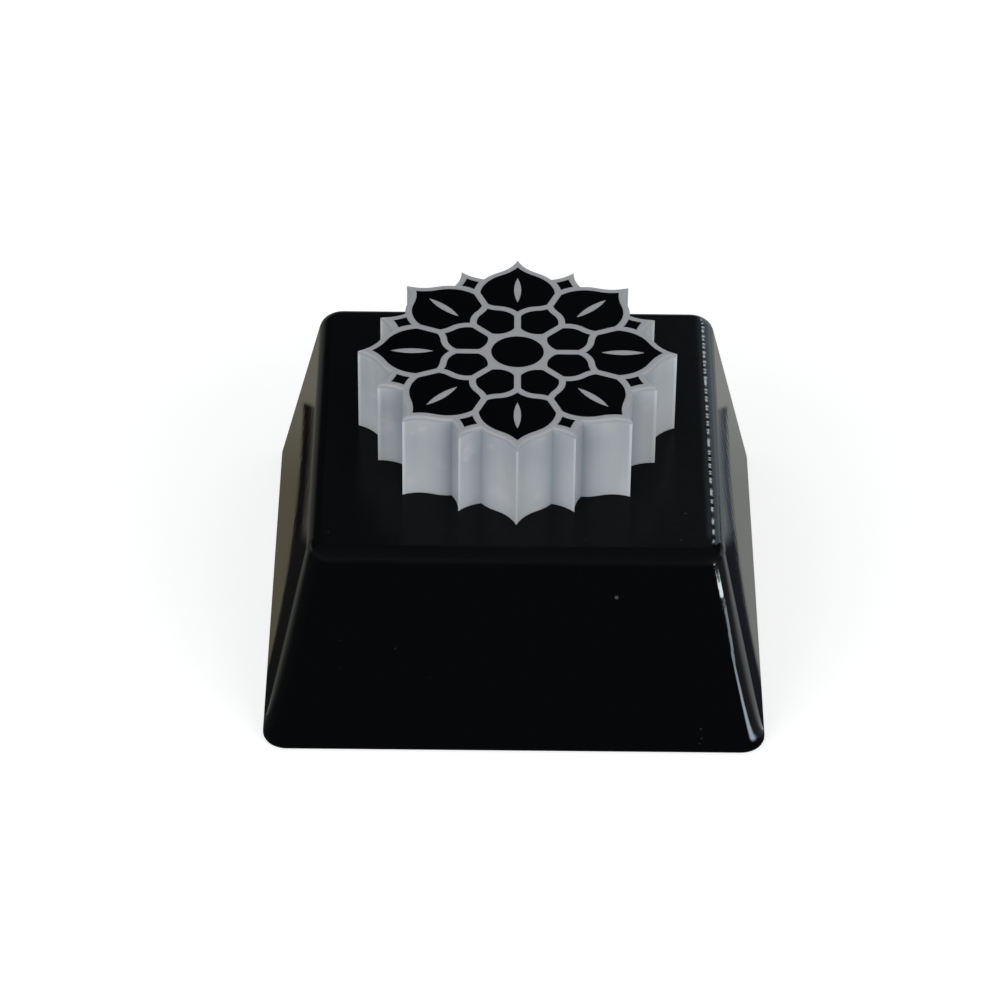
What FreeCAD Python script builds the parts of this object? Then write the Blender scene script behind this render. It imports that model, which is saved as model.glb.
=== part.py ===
import FreeCAD, Part

import math
import os

from FreeCAD import Vector

# One-unit keycap with a raised rosette emblem, in millimetres. The origin is the middle of the rim's
# plane, +Z points up through the emblem, and -Y is the side that faces the typist.

# Cap, outside
base_size = 18.2             # across the flats at the rim, before its edge is rounded
top_size = 14.65             # across the flats at the top, before its edge is rounded
cap_height = 7.85            # rim to top
corner_radius = 0.9          # upright corners
top_edge_radius = 0.5        # rounding between the top and the sides
rim_edge_radius = 0.2        # rounding of the rim's outer edge

# Cap, hollow
wall = 1.2                   # thickness of the skirt, measured level
roof = 1.8                   # thickness of the top
hollow_corner_radius = 0.8   # upright corners of the hollow
hollow_edge_radius = 0.6     # rounding between the hollow's sides and its ceiling

# Post with the cross socket that pushes on to a key switch
post_diameter = 5.5
post_recess = 0.6            # from the rim's plane up to the post's end
post_root_chamfer = 0.35     # slope where the post meets the ceiling
socket_span = 4.1            # length of each arm of the cross, end to end
socket_slot_across = 1.3     # width of the arm that runs along X
socket_slot_along = 1.17     # width of the arm that runs along Y
socket_depth = 3.8
socket_lead_in = 0.15        # chamfer round the mouth of the socket

# Emblem block, a rosette of pointed petals with upright walls
emblem_height = 3.4          # cap's top to emblem's top
emblem_edge_break = 0.06     # chamfer round the upper edge
petal_count = 8
petal_centre = 3.5           # radius of the circle that the petals' bellies are centred on
petal_belly = 1.62           # radius of a petal's round belly
petal_tip = 5.75             # radius of the circle that the petals' tips lie on
petal_tip_angle = 21.0       # half of the angle between a tip's two sides, in degrees
sepal_centre = 3.9           # the same four sizes for the sepals that show between the petals
sepal_belly = 0.95
sepal_tip = 5.4
sepal_tip_angle = 20.0

# Inlay, the dark fields let into the top of the block
inlay_depth = 0.4            # floor of a field, below the emblem's top
inlay_sink = 0.02            # surface of the fill, below the emblem's top
line_width = 0.24            # pale line between a field and the edge, or between two fields
rib_length = 1.5             # pale rib along the middle of each petal
rib_width = 0.26
rib_start = 3.05             # radius at which the rib begins
leaflet_centre = 1.95        # inner ring of small petals, set between the outer ones
leaflet_belly = 0.98
leaflet_tip = 3.3
leaflet_tip_angle = 22.0
button_radius = 0.95         # round field in the middle

# Places that follow from the sizes above
ceiling = cap_height - roof
emblem_base = cap_height
emblem_top = emblem_base + emblem_height
petal_step = 360.0 / petal_count
on_petals = 0.0              # places round the rosette, in steps from one petal to the next
between_petals = 0.5
tolerance = 1e-4             # lengths this close are the same


def size_at(height):
    """Across the flats of the tapered outside at a height above the rim."""
    return base_size + (top_size - base_size) * height / cap_height


def level_edges(shape, height):
    """Edges that lie wholly at one height."""
    def level(edge):
        box = edge.BoundBox
        return abs(box.ZMin - height) < tolerance and abs(box.ZMax - height) < tolerance
    return [edge for edge in shape.Edges if level(edge)]


def tapered_block(low_size, high_size, height, upright_radius):
    """Flat-sided block that narrows upwards from the rim's plane, with its upright edges rounded."""
    low = low_size / 2
    high = high_size / 2
    block = Part.makeWedge(-low, 0, -low, -high, -high, low, height, low, high, high)
    block.rotate(Vector(0, 0, 0), Vector(1, 0, 0), 90)
    level = level_edges(block, 0) + level_edges(block, height)
    upright = [edge for edge in block.Edges if not any(edge.isSame(other) for other in level)]
    return block.makeFillet(upright_radius, upright)


def make_skirt():
    """Hollow cap without its post: tapered outside, hollow open downwards."""
    outside = tapered_block(base_size, top_size, cap_height, corner_radius)
    outside = outside.makeFillet(top_edge_radius, level_edges(outside, cap_height))
    outside = outside.makeFillet(rim_edge_radius, level_edges(outside, 0))
    hollow = tapered_block(base_size - 2 * wall, size_at(ceiling) - 2 * wall, ceiling, hollow_corner_radius)
    hollow = hollow.makeFillet(hollow_edge_radius, level_edges(hollow, ceiling))
    return outside.cut(hollow)


def make_socket():
    """Cross-shaped hole with a chamfered mouth, opening downwards at the post's end."""
    arms = [(socket_span, socket_slot_across), (socket_slot_along, socket_span)]
    cross = None
    for along_x, along_y in arms:
        corner = Vector(-along_x / 2, -along_y / 2, post_recess)
        arm = Part.makeBox(along_x, along_y, socket_depth, corner)
        lower = Part.makePlane(along_x + 2 * socket_lead_in, along_y + 2 * socket_lead_in,
                               corner - Vector(socket_lead_in, socket_lead_in, 0))
        upper = Part.makePlane(along_x, along_y, corner + Vector(0, 0, socket_lead_in))
        mouth = Part.makeLoft([lower.OuterWire, upper.OuterWire], True, True)
        cross = arm.fuse(mouth) if cross is None else cross.fuse([arm, mouth])
    return cross.removeSplitter()


def make_cap():
    """Skirt, roof, post and socket in one piece."""
    post = Part.makeCylinder(post_diameter / 2, ceiling + roof / 2 - post_recess, Vector(0, 0, post_recess))
    cap = make_skirt().fuse(post)
    girth = math.pi * post_diameter
    root = [edge for edge in level_edges(cap, ceiling) if abs(edge.Length - girth) < tolerance]
    cap = cap.makeChamfer(post_root_chamfer, root)
    return cap.cut(make_socket()).removeSplitter()


def ogee_petal(centre, belly, tip, tip_angle, inset):
    """Flat petal: a round belly that runs out to a point through two hollow curves.

    The hollow curves touch the belly's circle and meet at the tip under the given half angle. An inset
    draws the parallel outline inside it.
    """
    reach = tip - centre
    slope = math.radians(tip_angle)
    hollow = (reach ** 2 - belly ** 2) / (2 * (belly - reach * math.sin(slope)))
    middle = Vector(centre, 0, 0)
    pivot = Vector(tip + hollow * math.sin(slope), hollow * math.cos(slope), 0)
    belly_inside = belly - inset
    hollow_inside = hollow + inset
    point = Vector(pivot.x - math.sqrt(hollow_inside ** 2 - pivot.y ** 2), 0, 0)
    touch = middle + (pivot - middle).normalize() * belly_inside
    bend = pivot + ((touch + point) / 2 - pivot).normalize() * hollow_inside

    def mirrored(v):
        return Vector(v.x, -v.y, 0)

    edges = [
        Part.Arc(touch, Vector(centre - belly_inside, 0, 0), mirrored(touch)).toShape(),
        Part.Arc(mirrored(touch), mirrored(bend), point).toShape(),
        Part.Arc(point, bend, touch).toShape(),
    ]
    return Part.Face(Part.Wire(edges))


def disc(radius):
    """Flat round face in the middle of the emblem."""
    return Part.Face(Part.Wire(Part.makeCircle(radius)))


def ring_of(shape, start):
    """Copies of a shape, turned to each petal's place or to the places between them."""
    copies = []
    for index in range(petal_count):
        copy = shape.copy()
        copy.rotate(Vector(0, 0, 0), Vector(0, 0, 1), petal_step * (index + start))
        copies.append(copy)
    return copies


def sector(reach):
    """One petal's share of the rosette, less half a line on each side."""
    half_angle = math.radians(petal_step / 2)
    apex = line_width / 2 / math.sin(half_angle)
    spread = (reach - apex) * math.tan(half_angle)
    corners = [Vector(apex, 0, 0), Vector(reach, -spread, 0), Vector(reach, spread, 0), Vector(apex, 0, 0)]
    return Part.Face(Part.makePolygon(corners))


def petal(inset):
    """Outline of one outer petal."""
    return ogee_petal(petal_centre, petal_belly, petal_tip, petal_tip_angle, inset)


def sepal(inset):
    """Outline of one sepal, which lies under the petals."""
    return ogee_petal(sepal_centre, sepal_belly, sepal_tip, sepal_tip_angle, inset)


def leaflet(inset):
    """Outline of one inner petal, which lies over the outer ones."""
    return ogee_petal(leaflet_centre, leaflet_belly, leaflet_tip, leaflet_tip_angle, inset)


def rib():
    """Slim pale rib, pointed at both ends, in the middle of a petal."""
    start = Vector(rib_start, 0, 0)
    end = Vector(rib_start + rib_length, 0, 0)
    middle = (start + end) / 2
    bulge = Vector(0, rib_width / 2, 0)
    edges = [
        Part.Arc(start, middle + bulge, end).toShape(),
        Part.Arc(end, middle - bulge, start).toShape(),
    ]
    return Part.Face(Part.Wire(edges))


def raised(face, low, high):
    """Upright solid on a flat face."""
    lifted = face.copy()
    lifted.translate(Vector(0, 0, low))
    return lifted.extrude(Vector(0, 0, high - low))


def inlay_fields():
    """Flat faces of all the dark fields, each a line's width from the next."""
    petal_field = petal(line_width).common(sector(petal_tip))
    petal_field = petal_field.cut([rib()] + ring_of(leaflet(0), between_petals))
    sepal_field = sepal(line_width).cut(ring_of(petal(0), between_petals))
    leaflet_field = leaflet(line_width).common(sector(petal_tip)).cut(disc(button_radius + line_width))
    fields = ring_of(petal_field, on_petals)
    fields += ring_of(sepal_field, between_petals) + ring_of(leaflet_field, between_petals)
    return [face for field in fields for face in field.Faces] + [disc(button_radius)]


def bevelled(flat_petal):
    """Sliver from a petal's full outline to its inset one, at the emblem's upper edge."""
    low = flat_petal(0).OuterWire
    high = flat_petal(emblem_edge_break).OuterWire
    low.translate(Vector(0, 0, emblem_top - emblem_edge_break))
    high.translate(Vector(0, 0, emblem_top))
    return Part.makeLoft([low, high], True, True)


def make_block(pockets):
    """Pale block with the rosette's outline, standing on the cap's top, with pockets for the inlay."""
    shoulder = emblem_top - emblem_edge_break
    petals = ring_of(petal(0), on_petals) + ring_of(sepal(0), between_petals)
    outline = disc(petal_centre).fuse(petals).removeSplitter()
    block = raised(outline.Faces[0], emblem_base, shoulder)
    upper = [raised(disc(petal_centre), shoulder, emblem_top)]
    upper += ring_of(bevelled(petal), on_petals) + ring_of(bevelled(sepal), between_petals)
    return block.fuse(upper).removeSplitter().cut(pockets)


def save(shape, name):
    shape.exportStep(os.path.join("parts", name + ".step"))
    print(name, "solids", len(shape.Solids), "valid", shape.isValid(), "volume", round(shape.Volume, 2))


def main():
    os.makedirs("parts", exist_ok=True)
    fields = inlay_fields()
    pockets = [raised(face, emblem_top - inlay_depth, emblem_top) for face in fields]
    fills = [raised(face, emblem_top - inlay_depth, emblem_top - inlay_sink) for face in fields]
    save(make_cap(), "cap_shell")
    save(make_block(pockets), "emblem_block")
    save(Part.makeCompound(fills), "emblem_inlay")


main()
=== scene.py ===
import math

import bpy
import numpy as np
from mathutils import Matrix, Vector

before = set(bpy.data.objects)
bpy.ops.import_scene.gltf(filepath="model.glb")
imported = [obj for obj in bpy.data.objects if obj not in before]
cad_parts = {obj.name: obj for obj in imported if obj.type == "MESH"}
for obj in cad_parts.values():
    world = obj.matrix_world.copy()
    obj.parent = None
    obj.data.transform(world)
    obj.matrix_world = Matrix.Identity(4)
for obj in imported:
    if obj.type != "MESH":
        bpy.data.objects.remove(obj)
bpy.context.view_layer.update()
mm = 0.001  # a millimetre, in Blender's metres


# A shader value. Arithmetic on it adds Math nodes to the finish that it belongs to.
class Field:
    def __init__(self, paint, socket):
        self.paint = paint
        self.socket = socket

    def combine(self, operation, *values):
        return self.paint.node("Math", {"operation": operation}, dict(enumerate(values)))

    def __add__(self, other):
        return self.combine("ADD", self, other)

    def __radd__(self, other):
        return self.combine("ADD", other, self)

    def __sub__(self, other):
        return self.combine("SUBTRACT", self, other)

    def __rsub__(self, other):
        return self.combine("SUBTRACT", other, self)

    def __mul__(self, other):
        return self.combine("MULTIPLY", self, other)

    def __rmul__(self, other):
        return self.combine("MULTIPLY", other, self)

    def __truediv__(self, other):
        return self.combine("DIVIDE", self, other)

    def __abs__(self):
        return self.combine("ABSOLUTE", self)

    def __neg__(self):
        return self.combine("MULTIPLY", self, -1)

    def sine(self):
        return self.combine("SINE", self)

    def atLeast(self, other):
        return self.combine("MAXIMUM", self, other)

    # angle of the direction (across, self), in degrees
    def angleOver(self, across):
        return self.combine("ARCTAN2", self, across) * (180 / math.pi)

    # how far it is from the nearest multiple of a step
    def offMultiple(self, step):
        return self.combine("PINGPONG", self, step / 2)

    # 0 below low, 1 above high, eased in between
    def rise(self, low, high):
        inputs = {"Value": self, "From Min": low, "From Max": high}
        return self.paint.node("MapRange", {"interpolation_type": "SMOOTHSTEP"}, inputs, "Result")


# The nodes of a material or of the world, under construction
class Finish:
    def __init__(self, owner):
        owner.use_nodes = True
        self.owner = owner
        self.tree = owner.node_tree
        self.tree.nodes.clear()

    # any node: its type, its settings, the values or links of its sockets, and the output that is used
    def node(self, kind, settings=None, inputs=None, output=0):
        node = self.tree.nodes.new("ShaderNode" + kind)
        for key, value in (settings or {}).items():
            setattr(node, key, value)
        for key, value in (inputs or {}).items():
            if isinstance(value, Field):
                self.tree.links.new(value.socket, node.inputs[key])
            else:
                node.inputs[key].default_value = value
        return Field(self, node.outputs[output]) if node.outputs else node

    def objectPoint(self, stretch=(1, 1, 1)):
        point = self.node("TexCoord", output="Object")
        return self.node("Mapping", inputs={"Vector": point, "Scale": stretch})

    def axes(self, names="XYZ"):
        point = self.node("TexCoord", output="Object")
        return [self.node("SeparateXYZ", inputs={"Vector": point}, output=name) for name in names]

    def noise(self, cellSize, detail, stretch=(1, 1, 1)):
        inputs = {"Vector": self.objectPoint(stretch), "Scale": 1 / cellSize, "Detail": detail}
        return self.node("TexNoise", {"noise_dimensions": "3D"}, inputs, "Fac")

    # distance from the nearest of many scattered points, in metres
    def scatterDistance(self, cellSize):
        inputs = {"Vector": self.objectPoint(), "Scale": 1 / cellSize}
        return self.node("TexVoronoi", {"voronoi_dimensions": "3D"}, inputs, "Distance") * cellSize

    # distance from a line through a place, which runs along the axis whose stretch is 0
    def distanceFrom(self, place, stretch):
        offset = self.node("VectorMath", {"operation": "SUBTRACT"}, {0: self.objectPoint(stretch), 1: place})
        return self.node("VectorMath", {"operation": "LENGTH"}, {0: offset}, "Value")

    # from the first colour, at amount 0, to the second, at 1
    def blend(self, amount, first, second):
        return self.node("Mix", {"data_type": "RGBA"}, {0: amount, 6: first, 7: second}, 2)

    def bump(self, height, depth, under=None):
        inputs = {"Height": height, "Distance": depth}
        if under is not None:
            inputs["Normal"] = under
        return self.node("Bump", inputs=inputs, output="Normal")

    def surface(self, shader, kind="Material"):
        self.node("Output" + kind, inputs={"Surface": shader})
        return self.owner


def newFinish(name):
    return Finish(bpy.data.materials.new(name))


# Black resin of the cap: polished sides and edges, a satin top, and a hollow as it left the mould
capSet = {
    "black": (0.0008, 0.0011, 0.0013, 1), "roughness": 0.02, "specular": 0.4,
    "smudgeCell": 3.0 * mm, "smudgeRoughness": 0.04, "peelCell": 0.5 * mm, "peelDepth": 0.0022 * mm,
    "satinBlack": (0.0034, 0.0039, 0.0043, 1), "satinRoughness": 0.20, "satinSpecular": 0.06,
    "grainCell": 0.25 * mm, "grainRoughness": 0.08, "grainDepth": 0.001 * mm,
    "flatTop": 6.925 * mm, "sideTop": 7.46 * mm,  # where the top edge's rounding begins, and its lower end
    "satinFrom": (7.36 * mm, 7.44 * mm), "satinEdge": 0.04 * mm,
    "cornerSpread": 3,  # how fast the satin widens past the front edge, on to its corners
    "rimHalf": 9.1 * mm, "lean": 0.2261,  # half of the rim, and how far the sides lean in per height
    "skin": 0.6 * mm, "ceiling": 6.9 * mm,  # the hollow is deeper than the skin and below this height
    "blur": 0.1 * mm,  # softness of most borders
    # beads along the right edge of the top, and the same waves, fainter, on the side below it
    "beadStep": 0.52 * mm, "beadDepth": 0.0043 * mm, "beadFade": (0.10 * mm, 0.20 * mm), "beadRoughness": 0.1,
    "driftCell": 1.1 * mm, "driftStretch": (0.5, 1, 0.5), "drift": 10,  # how uneven the steps are
    "sideWaves": 0.08, "sideWavesFrom": (4.8 * mm, 5.3 * mm), "pastRounding": (0.45 * mm, 0.55 * mm),
    # a painted sheen on the satin beside that edge: a lighter, bluish base colour standing in for reflected
    # window light, which ends before the front
    "paintedSheen": (0.0180, 0.0235, 0.0265, 1),
    "paintedSheenFrom": (6.67 * mm, 6.90 * mm), "paintedSheenEnd": (-6.6 * mm, -6.1 * mm),
    "dust": (0.060, 0.060, 0.060, 1), "dustRoughness": 0.5,
    "dustCell": 1.6 * mm, "dustFade": (0.020 * mm, 0.040 * mm), "dustShow": 0.10,
    # specks on the front: across, height above the rim, radius, strength
    "frontSpecks": [(3.57 * mm, 6.17 * mm, 0.090 * mm, 1.00), (-6.20 * mm, 4.40 * mm, 0.045 * mm, 0.16),
                    (-4.25 * mm, 4.11 * mm, 0.055 * mm, 0.18), (-6.20 * mm, 3.31 * mm, 0.055 * mm, 0.10),
                    (-3.00 * mm, 2.99 * mm, 0.045 * mm, 0.12), (6.69 * mm, 1.06 * mm, 0.055 * mm, 0.35),
                    (6.73 * mm, 0.68 * mm, 0.050 * mm, 0.26), (6.67 * mm, 0.48 * mm, 0.050 * mm, 0.18)],
    # specks on the top: across, towards the back, radius, strength
    "topSpecks": [(6.02 * mm, -5.00 * mm, 0.060 * mm, 0.34), (5.84 * mm, -6.49 * mm, 0.060 * mm, 0.28),
                  (2.47 * mm, -6.54 * mm, 0.055 * mm, 0.20), (-6.64 * mm, -6.28 * mm, 0.060 * mm, 0.18)],
    "speckCore": 0.4,  # share of a speck's radius that is solid
    "frontFrom": 7.2 * mm, "topFrom": 7.8 * mm,  # how far forward the front is, and how high the top
}


# faint dust all over, and the specks that can be told apart
def capDust(paint, values, y, z):
    dust = (1 - paint.scatterDistance(values["dustCell"]).rise(*values["dustFade"])) * values["dustShow"]
    onFront = (-y).rise(values["frontFrom"] - values["blur"], values["frontFrom"])
    onTop = z.rise(values["topFrom"] - values["blur"], values["topFrom"])
    specks = [((left, 0, up), (1, 0, 1), onFront, *rest) for left, up, *rest in values["frontSpecks"]]
    specks += [((left, back, 0), (1, 1, 0), onTop, *rest) for left, back, *rest in values["topSpecks"]]
    for place, stretch, where, size, show in specks:
        reach = paint.distanceFrom(place, stretch)
        dust = dust.atLeast((1 - reach.rise(values["speckCore"] * size, size)) * where * show)
    return dust


# fine uneven waves, left by hand polishing: the ridge that they follow, and their height
def capWaves(paint, values, x, y, z):
    pastTop = x - values["flatTop"]
    ridge = pastTop.rise(-values["blur"], 0) * (1 - pastTop.rise(*values["beadFade"]))
    ridge = ridge * z.rise(values["sideTop"] - values["blur"], values["sideTop"] + values["blur"])
    onSide = pastTop.rise(*values["pastRounding"]) * z.rise(*values["sideWavesFrom"])
    drift = paint.noise(values["driftCell"], detail=0, stretch=values["driftStretch"]) * values["drift"]
    waves = (y * (2 * math.pi / values["beadStep"]) + drift).sine()
    return ridge, waves * (ridge + onSide * values["sideWaves"])


# the satin runs over the front edge and its two corners, stops short of the other edges, and fills the hollow
def capSatin(values, x, y, z):
    overFront = (-y - values["flatTop"]).atLeast(0)
    inwards = (abs(x) - overFront * values["cornerSpread"]).atLeast(y)
    onTop = 1 - inwards.rise(values["flatTop"] - values["satinEdge"], values["flatTop"] + values["satinEdge"])
    onTop = onTop * z.rise(*values["satinFrom"])
    depth = values["rimHalf"] - z * values["lean"] - abs(x).atLeast(abs(y))
    inHollow = depth.rise(values["skin"], values["skin"] + values["blur"])
    inHollow = inHollow * (1 - z.rise(values["ceiling"], values["ceiling"] + values["blur"]))
    return onTop.atLeast(inHollow)


def capFinish(values):
    paint = newFinish("capGlossBlack")
    x, y, z = paint.axes()
    dust = capDust(paint, values, y, z)
    ridge, waves = capWaves(paint, values, x, y, z)
    smudge = paint.noise(values["smudgeCell"], detail=3)
    peel = paint.bump(paint.noise(values["peelCell"], detail=1), values["peelDepth"])
    roughness = values["roughness"] + smudge * values["smudgeRoughness"]
    polished = paint.node("BsdfPrincipled", inputs={
        "Base Color": paint.blend(dust, values["black"], values["dust"]),
        "Roughness": roughness + dust * values["dustRoughness"] + ridge * values["beadRoughness"],
        "Specular IOR Level": values["specular"],
        "Normal": paint.bump(waves, values["beadDepth"], peel),
    })
    # painted sheen: lighter bluish colour on the satin near the right edge, standing in for a reflection
    paintedSheen = x.rise(*values["paintedSheenFrom"]) * y.rise(*values["paintedSheenEnd"])
    paintedSheenSatin = paint.blend(paintedSheen, values["satinBlack"], values["paintedSheen"])
    grain = paint.noise(values["grainCell"], detail=2)
    satin = paint.node("BsdfPrincipled", inputs={
        "Base Color": paint.blend(dust, paintedSheenSatin, values["dust"]),
        "Roughness": values["satinRoughness"] + grain * values["grainRoughness"],
        "Specular IOR Level": values["satinSpecular"],
        "Normal": paint.bump(grain, values["grainDepth"]),
    })
    mask = capSatin(values, x, y, z)
    return paint.surface(paint.node("MixShader", inputs={0: mask, 1: polished, 2: satin}))


# Frosted pale grey of the emblem. Angles are in degrees.
blockSet = {
    "cool": (0.395, 0.430, 0.460, 1), "warm": (0.470, 0.482, 0.488, 1), "warmFrom": (0.3, 0.7),
    "mottleCell": 2.2 * mm, "mottleShare": 0.6,
    "streakCell": 0.5 * mm, "streakStretch": (1, 1, 0.08), "streakShare": 0.4, "streakDepth": 0.004 * mm,
    "roughness": 0.30, "streakRoughness": 0.15, "specular": 0.35,
    "spread": 0.25, "spreadReach": (0.7, 0.9, 1.0), "spreadSize": 0.4 * mm,  # light that spreads in the resin
    "frost": (0.560, 0.570, 0.585, 1), "frostCell": 0.9 * mm, "frostFrom": (0.56, 0.70), "frostShow": 0.55,
    # foot is painted light: a paler colour at the bottom of the walls
    "foot": (0.640, 0.665, 0.690, 1), "paintedFootLightTo": (7.85 * mm, 10.6 * mm), "paintedFootLightShow": 0.55,
    # tip is a painted highlight down the sharp edges
    "tip": (0.680, 0.690, 0.700, 1), "tipStep": 22.5, "tipWidth": (0.25, 0.60), "tipShow": 0.60,
    # deep is painted shade in the notches between the petals
    "paintedNotchShade": (0.150, 0.215, 0.290, 1), "paintedNotchShadeTo": (4.5 * mm, 5.1 * mm), "paintedNotchShadeShow": 0.60,
    "line": (0.371, 0.379, 0.395, 1), "lineFrom": (11.05 * mm, 11.15 * mm),
}


def blockFinish(values):
    paint = newFinish("emblemFrostedGrey")
    x, y, z = paint.axes()
    mottle = paint.noise(values["mottleCell"], detail=2)
    streak = paint.noise(values["streakCell"], detail=2, stretch=values["streakStretch"])
    warmth = (mottle * values["mottleShare"] + streak * values["streakShare"]).rise(*values["warmFrom"])
    pale = paint.blend(warmth, values["cool"], values["warm"])
    # whiter patches where the frosting is thicker, and painted light: a paler foot, lighter colour towards
    # the bottom of the walls that offsets the shade there
    patch = paint.noise(values["frostCell"], detail=4).rise(*values["frostFrom"])
    pale = paint.blend(patch * values["frostShow"], pale, values["frost"])
    foot = 1 - z.rise(*values["paintedFootLightTo"])
    pale = paint.blend(foot * values["paintedFootLightShow"], pale, values["foot"])
    # painted highlight: a paler line down each sharp edge, where the edge catches light
    edgeHighlightMask = 1 - y.angleOver(x).offMultiple(values["tipStep"]).rise(*values["tipWidth"])
    pale = paint.blend(edgeHighlightMask * values["tipShow"], pale, values["tip"])
    # painted shade: the notches between the petals are coloured darker and bluer, standing in for the shade
    # deep in them
    belowTop = 1 - z.rise(*values["lineFrom"])
    radius = paint.distanceFrom((0, 0, 0), (1, 1, 0))
    notchShadeMask = (1 - radius.rise(*values["paintedNotchShadeTo"])) * belowTop
    walls = paint.blend(notchShadeMask * values["paintedNotchShadeShow"], pale, values["paintedNotchShade"])
    return paint.surface(paint.node("BsdfPrincipled", inputs={
        "Base Color": paint.blend(belowTop, values["line"], walls),
        "Roughness": values["roughness"] + streak * values["streakRoughness"],
        "Specular IOR Level": values["specular"],
        "Subsurface Weight": values["spread"],
        "Subsurface Radius": values["spreadReach"],
        "Subsurface Scale": values["spreadSize"],
        "Normal": paint.bump(streak, values["streakDepth"]),
    }))


# Black fill in the top of the emblem
inlaySet = {
    "black": (0.0007, 0.0010, 0.0013, 1), "soot": (0.0012, 0.0016, 0.0020, 1), "grainCell": 0.2 * mm,
    "roughness": 0.38, "grainRoughness": 0.12, "specular": 0.015,
}


def inlayFinish(values):
    paint = newFinish("inlaySatinBlack")
    grain = paint.noise(values["grainCell"], detail=2)
    return paint.surface(paint.node("BsdfPrincipled", inputs={
        "Base Color": paint.blend(grain, values["black"], values["soot"]),
        "Roughness": values["roughness"] + grain * values["grainRoughness"],
        "Specular IOR Level": values["specular"],
    }))


def dressNode(name, material):
    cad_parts[name].material_slots[0].material = material


dressNode("cap_shell", capFinish(capSet))
dressNode("emblem_block", blockFinish(blockSet))
dressNode("emblem_inlay", inlayFinish(inlaySet))
print("dressed the cap and its emblem")


# a level square around the origin, which belongs to the stage
def makeSquare(name, half, height, material):
    corners = np.array([[-1, -1, 0], [1, -1, 0], [1, 1, 0], [-1, 1, 0]]) * half + [0, 0, height]
    mesh = bpy.data.meshes.new(name)
    mesh.from_pydata(corners.tolist(), [], [(0, 1, 2, 3)])
    mesh.materials.append(material)
    square = bpy.data.objects.new(name, mesh)
    bpy.context.collection.objects.link(square)
    return square


# lift makes the floor pale for rays that look at it, without more light on the object
floorSet = {"halfSize": 2000 * mm, "colour": (0.55, 0.55, 0.55, 1), "roughness": 0.9, "lift": 0.65}


def floorFinish(values):
    paint = newFinish("floorWhite")
    matt = paint.node("BsdfPrincipled", inputs={
        "Base Color": values["colour"],
        "Roughness": values["roughness"],
        "Specular IOR Level": 0,
    })
    rays = ("Is Camera Ray", "Is Glossy Ray", "Is Transmission Ray")
    camera, glossy, transmission = [paint.node("LightPath", output=name) for name in rays]
    looking = camera.atLeast(glossy).atLeast(transmission)
    glow = paint.node("Emission", inputs={"Strength": looking * values["lift"]})
    return paint.surface(paint.node("AddShader", inputs={0: matt, 1: glow}))


makeSquare("floor", floorSet["halfSize"], 0, floorFinish(floorSet))

# What the gloss mirrors beside the cap: a dim bench top with a dark sill along each side, light that fans out
# from the front corners, and a bright strip at the right with a dash beyond it. Only mirror rays see it.
# Its pattern is in millimetres and degrees. Most pairs say where something begins and where it is complete.
benchSet = {
    "halfSize": 2100 * mm, "height": 0.01 * mm, "seam": (-1, 1),
    "front": (0.045, 0.046, 0.050, 1), "fanEnd": (-50, -30),
    "behind": (0.10, 0.10, 0.10, 1), "behindFrom": (8.5, 9.2), "behindTo": (7.5, 9.0),
    "fanLean": 1.5, "fanLeanFrom": 15.0, "fanFade": (20, 31),
    "sillEnd": (12.0, 12.4), "sillWiden": (3.2, 4.8), "nearBackFrom": (6.2, 14.2),
    # sillLine is the sill's place, slope and bend, and fanStart is where the fan's light comes from
    "left": {
        "side": -1, "sillLine": (9.75, 0.075, -0.004), "sillEdge": (-0.22, -0.13), "sillPast": (0.04, 0.42),
        "fanStart": (9.2, -7.0), "fanFoot": (-15, 38), "fanTop": (40, 86), "farBackFrom": (10.6, 15.0),
        "near": (0.132, 0.119, 0.084, 1), "nearBack": (0.207, 0.200, 0.158, 1),
        "sill": (0.012, 0.011, 0.012, 1), "sillBack": (0.006, 0.006, 0.006, 1),
        "beyond": (0.112, 0.104, 0.092, 1), "farBack": (0.235, 0.235, 0.200, 1),
        "fan": (0.300, 0.300, 0.265, 1), "foot": (0.060, 0.060, 0.060, 1), "far": (0.070, 0.070, 0.068, 1),
    },
    "right": {
        "side": 1, "sillLine": (9.68, 0.07, -0.004), "sillEdge": (-0.17, -0.05), "sillPast": (0.05, 0.30),
        "fanStart": (9.2, -7.6), "fanFoot": (-16, 14), "fanTop": (24, 68), "farBackFrom": (11.0, 24.0),
        "near": (0.262, 0.275, 0.262, 1), "nearBack": (0.345, 0.350, 0.340, 1),
        "sill": (0.014, 0.016, 0.021, 1), "sillBack": (0.060, 0.072, 0.090, 1),
        "beyond": (0.210, 0.220, 0.220, 1), "farBack": (0.560, 0.660, 0.710, 1),
        "fan": (0.960, 1.000, 1.030, 1), "foot": (0.210, 0.225, 0.240, 1), "far": (0.180, 0.190, 0.200, 1),
    },
    # the strip runs along a sloping line and then a level one, and widens as it goes
    "stripSlope": -0.9, "stripPlace": -0.2, "stripLevel": -21.7, "stripWiden": 0.11, "stripTrim": -0.5,
    "stripEdge": (-0.5, 0.6), "stripFrom": (10.4, 11.2), "stripTo": (36.0, 37.4), "stripFade": (13, 28),
    "stripNear": (8.0, 9.6, 10.8, 1), "stripFar": (4.4, 5.2, 5.8, 1),
    "dash": (19.0, 21.5, 22.5, 1), "dashPlace": (40.6, -27.3), "dashHalf": (2.2, 6.5), "dashBlur": 0.4,
}


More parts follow.
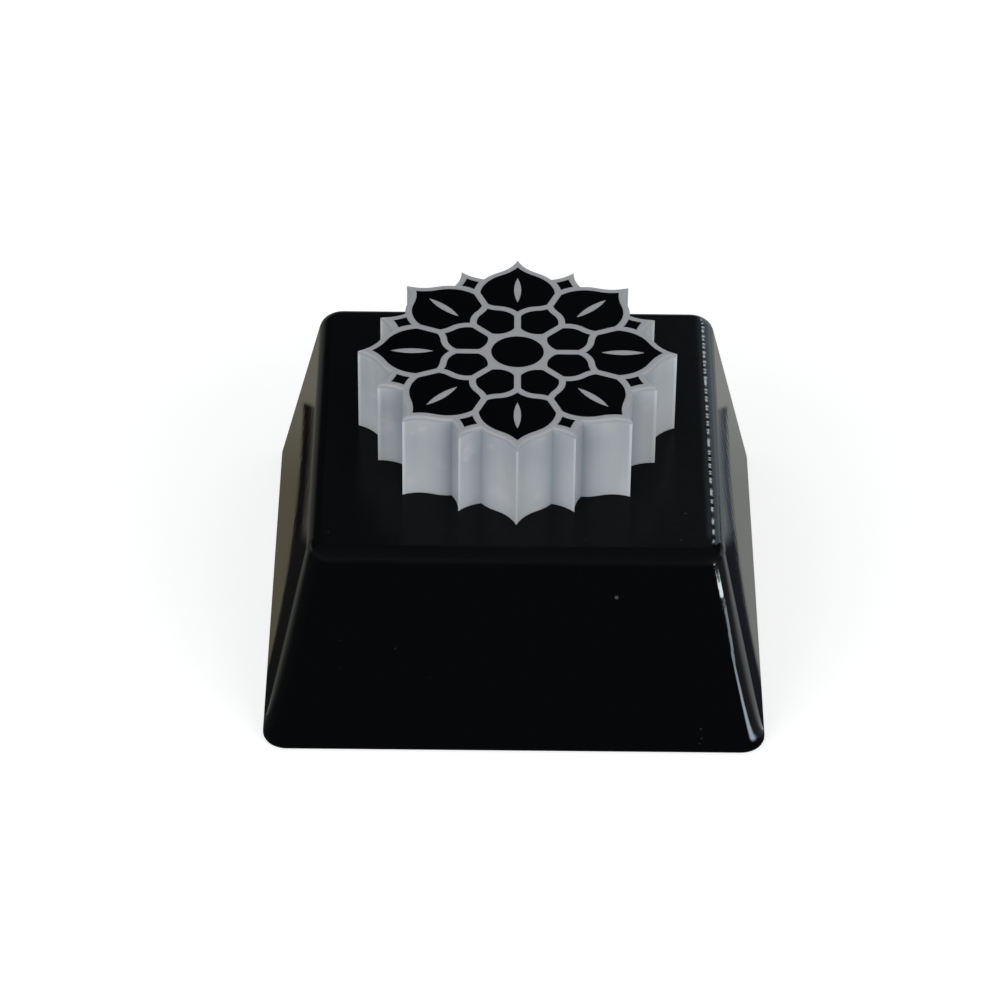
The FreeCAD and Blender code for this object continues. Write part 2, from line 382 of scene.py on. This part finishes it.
def benchSideTone(paint, values, side, x, y):
    reach = x * side["side"]
    place, slope, bend = side["sillLine"]
    offSill = reach - (y * slope + y * y * bend + place)
    startX, startY = side["fanStart"]
    angle = (y - startY).angleOver(reach - startX)
    leaned = angle - (reach - values["fanLeanFrom"]) * values["fanLean"]
    # past the sill: the fan of light, and towards the back the sill's wide end and what lies beyond it
    lit = paint.blend(leaned.rise(*side["fanTop"]), side["fan"], side["sill"])
    lit = paint.blend(reach.rise(*values["fanFade"]), lit, side["far"])
    outer = paint.blend(angle.rise(*side["fanFoot"]), side["foot"], lit)
    towardsBack = y.rise(*values["sillWiden"])
    outer = paint.blend(towardsBack, outer, side["sillBack"])
    outer = paint.blend(towardsBack * offSill.rise(*side["sillPast"]), outer, side["beyond"])
    # between the cap and the sill
    near = paint.blend(y.rise(*values["nearBackFrom"]), side["near"], side["nearBack"])
    behindCap = y.rise(*values["behindFrom"]) * (1 - reach.rise(*values["behindTo"]))
    near = paint.blend(behindCap, near, values["behind"])
    pastSill = offSill.rise(*side["sillEdge"]) * (1 - y.rise(*values["sillEnd"]))
    tone = paint.blend(pastSill, near, outer)
    tone = paint.blend(towardsBack * reach.rise(*side["farBackFrom"]), tone, side["farBack"])
    return paint.blend(angle.rise(*values["fanEnd"]), values["front"], tone)


def benchFinish(values):
    paint = newFinish("dimBench")
    x, y = [axis / mm for axis in paint.axes("XY")]
    left, right = [benchSideTone(paint, values, values[key], x, y) for key in ("left", "right")]
    tone = paint.blend(x.rise(*values["seam"]), left, right)
    stripLine = (x * values["stripSlope"] + values["stripPlace"]).atLeast(values["stripLevel"])
    offStrip = abs(y - stripLine) - (x * values["stripWiden"] + values["stripTrim"])
    strip = (1 - offStrip.rise(*values["stripEdge"])) * x.rise(*values["stripFrom"])
    strip = strip * (1 - x.rise(*values["stripTo"]))
    glow = paint.blend(x.rise(*values["stripFade"]), values["stripNear"], values["stripFar"])
    tone = paint.blend(strip, tone, glow)
    blur = values["dashBlur"]
    dashSpans = zip((x, y), values["dashPlace"], values["dashHalf"])
    inX, inY = [1 - abs(axis - place).rise(half - blur, half + blur) for axis, place, half in dashSpans]
    tone = paint.blend(inX * inY, tone, values["dash"])
    return paint.surface(paint.node("Emission", inputs={"Color": tone}))


bench = makeSquare("dimBench", benchSet["halfSize"], benchSet["height"], benchFinish(benchSet))
for rayKind in ("camera", "diffuse", "transmission", "volume_scatter", "shadow"):
    setattr(bench, "visible_" + rayKind, False)
print("laid the floor")

# Level is how bright a white card that faces the lamp would look. A lamp that shows as diffuse lights the
# object and isn't mirrored, and one that shows as glossy is only mirrored.
lampSet = {
    "leftSoftbox": {
        "azimuth": -42, "elevation": 31, "distance": 450 * mm, "size": (320 * mm, 320 * mm), "turn": 0,
        "level": 0.45, "colour": (0.98, 0.99, 1.0), "shows": "diffuse",
    },
    "rightSoftbox": {
        "azimuth": 42, "elevation": 29, "distance": 450 * mm, "size": (320 * mm, 320 * mm), "turn": 0,
        "level": 0.45, "colour": (0.98, 0.99, 1.0), "shows": "diffuse",
    },
    "backWindow": {
        "azimuth": 165, "elevation": 33.5, "distance": 400 * mm, "size": (60 * mm, 40 * mm), "turn": 35,
        "level": 0.038, "colour": (0.88, 0.95, 1.0), "shows": "glossy",
    },
    "backPane": {
        "azimuth": 155, "elevation": 19, "distance": 400 * mm, "size": (210 * mm, 250 * mm), "turn": 0,
        "level": 0.096, "colour": (0.72, 0.88, 1.0), "shows": "glossy",
    },
}


# azimuth 0 is the front, and 90 the right
def directionOf(azimuth, elevation):
    a, e = math.radians(azimuth), math.radians(elevation)
    return Vector((math.sin(a) * math.cos(e), -math.cos(a) * math.cos(e), math.sin(e)))


def makeLamp(name, values):
    data = bpy.data.lights.new(name, "AREA")
    data.shape = "RECTANGLE"
    data.size, data.size_y = values["size"]
    data.color = values["colour"]
    data.energy = values["level"] * math.pi ** 2 * values["distance"] ** 2
    lamp = bpy.data.objects.new(name, data)
    for rayKind in ("camera", "diffuse", "glossy"):
        setattr(lamp, "visible_" + rayKind, rayKind == values["shows"])
    towards = directionOf(values["azimuth"], values["elevation"])
    turn = Matrix.Rotation(math.radians(values["turn"]), 4, "Z")
    facing = towards.to_track_quat("Z", "Y").to_matrix().to_4x4()
    lamp.matrix_world = Matrix.Translation(towards * values["distance"]) @ facing @ turn
    bpy.context.collection.objects.link(lamp)


for lampName, lampValues in lampSet.items():
    makeLamp(lampName, lampValues)

# In gloss the room is dark above and bright along the horizon, but less so at the back
worldSet = {
    "colour": (0.97, 0.985, 1.0, 1), "level": 0.40, "mirrored": 0.035,
    "frontGlow": 0.50, "backGlow": 0.18, "glowHeight": (0.08, 0.42), "glowBack": (0.35, 0.70),
}


def makeWorld(values):
    world = bpy.data.worlds.new("studio")
    bpy.context.scene.world = world
    paint = Finish(world)
    y, z = paint.axes("YZ")  # direction that is looked in
    inGloss = paint.node("LightPath", output="Is Glossy Ray")
    glow = values["frontGlow"] - y.rise(*values["glowBack"]) * (values["frontGlow"] - values["backGlow"])
    mirrored = values["mirrored"] + (1 - z.rise(*values["glowHeight"])) * glow
    strength = values["level"] + inGloss * (mirrored - values["level"])
    sky = paint.node("Background", inputs={"Color": values["colour"], "Strength": strength})
    paint.surface(sky, "World")


makeWorld(worldSet)
print("lit the studio")

# where the photograph was taken from, with angles in degrees and the lens in millimetres
cameraSet = {
    "place": (-0.943 * mm, -130.543 * mm, 107.223 * mm), "pitch": 38.215, "yaw": 0.164, "roll": 0.658,
    "lens": 162.0, "sensor": 36.0, "nearest": 1 * mm,
}


def makeCamera(values):
    pitch, yaw, roll = (math.radians(values[key]) for key in ("pitch", "yaw", "roll"))
    forward = Vector((math.sin(yaw) * math.cos(pitch), math.cos(yaw) * math.cos(pitch), -math.sin(pitch)))
    right = Vector((math.cos(yaw), -math.sin(yaw), 0))
    up = right.cross(forward)
    rolledRight = right * math.cos(roll) + up * math.sin(roll)
    rolledUp = up * math.cos(roll) - right * math.sin(roll)
    data = bpy.data.cameras.new("camera")
    data.lens = values["lens"]
    data.sensor_width = values["sensor"]
    data.clip_start = values["nearest"]
    camera = bpy.data.objects.new("camera", data)
    turn = Matrix((rolledRight, rolledUp, -forward)).transposed().to_4x4()
    camera.matrix_world = Matrix.Translation(values["place"]) @ turn
    bpy.context.collection.objects.link(camera)
    bpy.context.scene.camera = camera


makeCamera(cameraSet)
bpy.context.scene.view_settings.view_transform = "Standard"
print("set the camera")
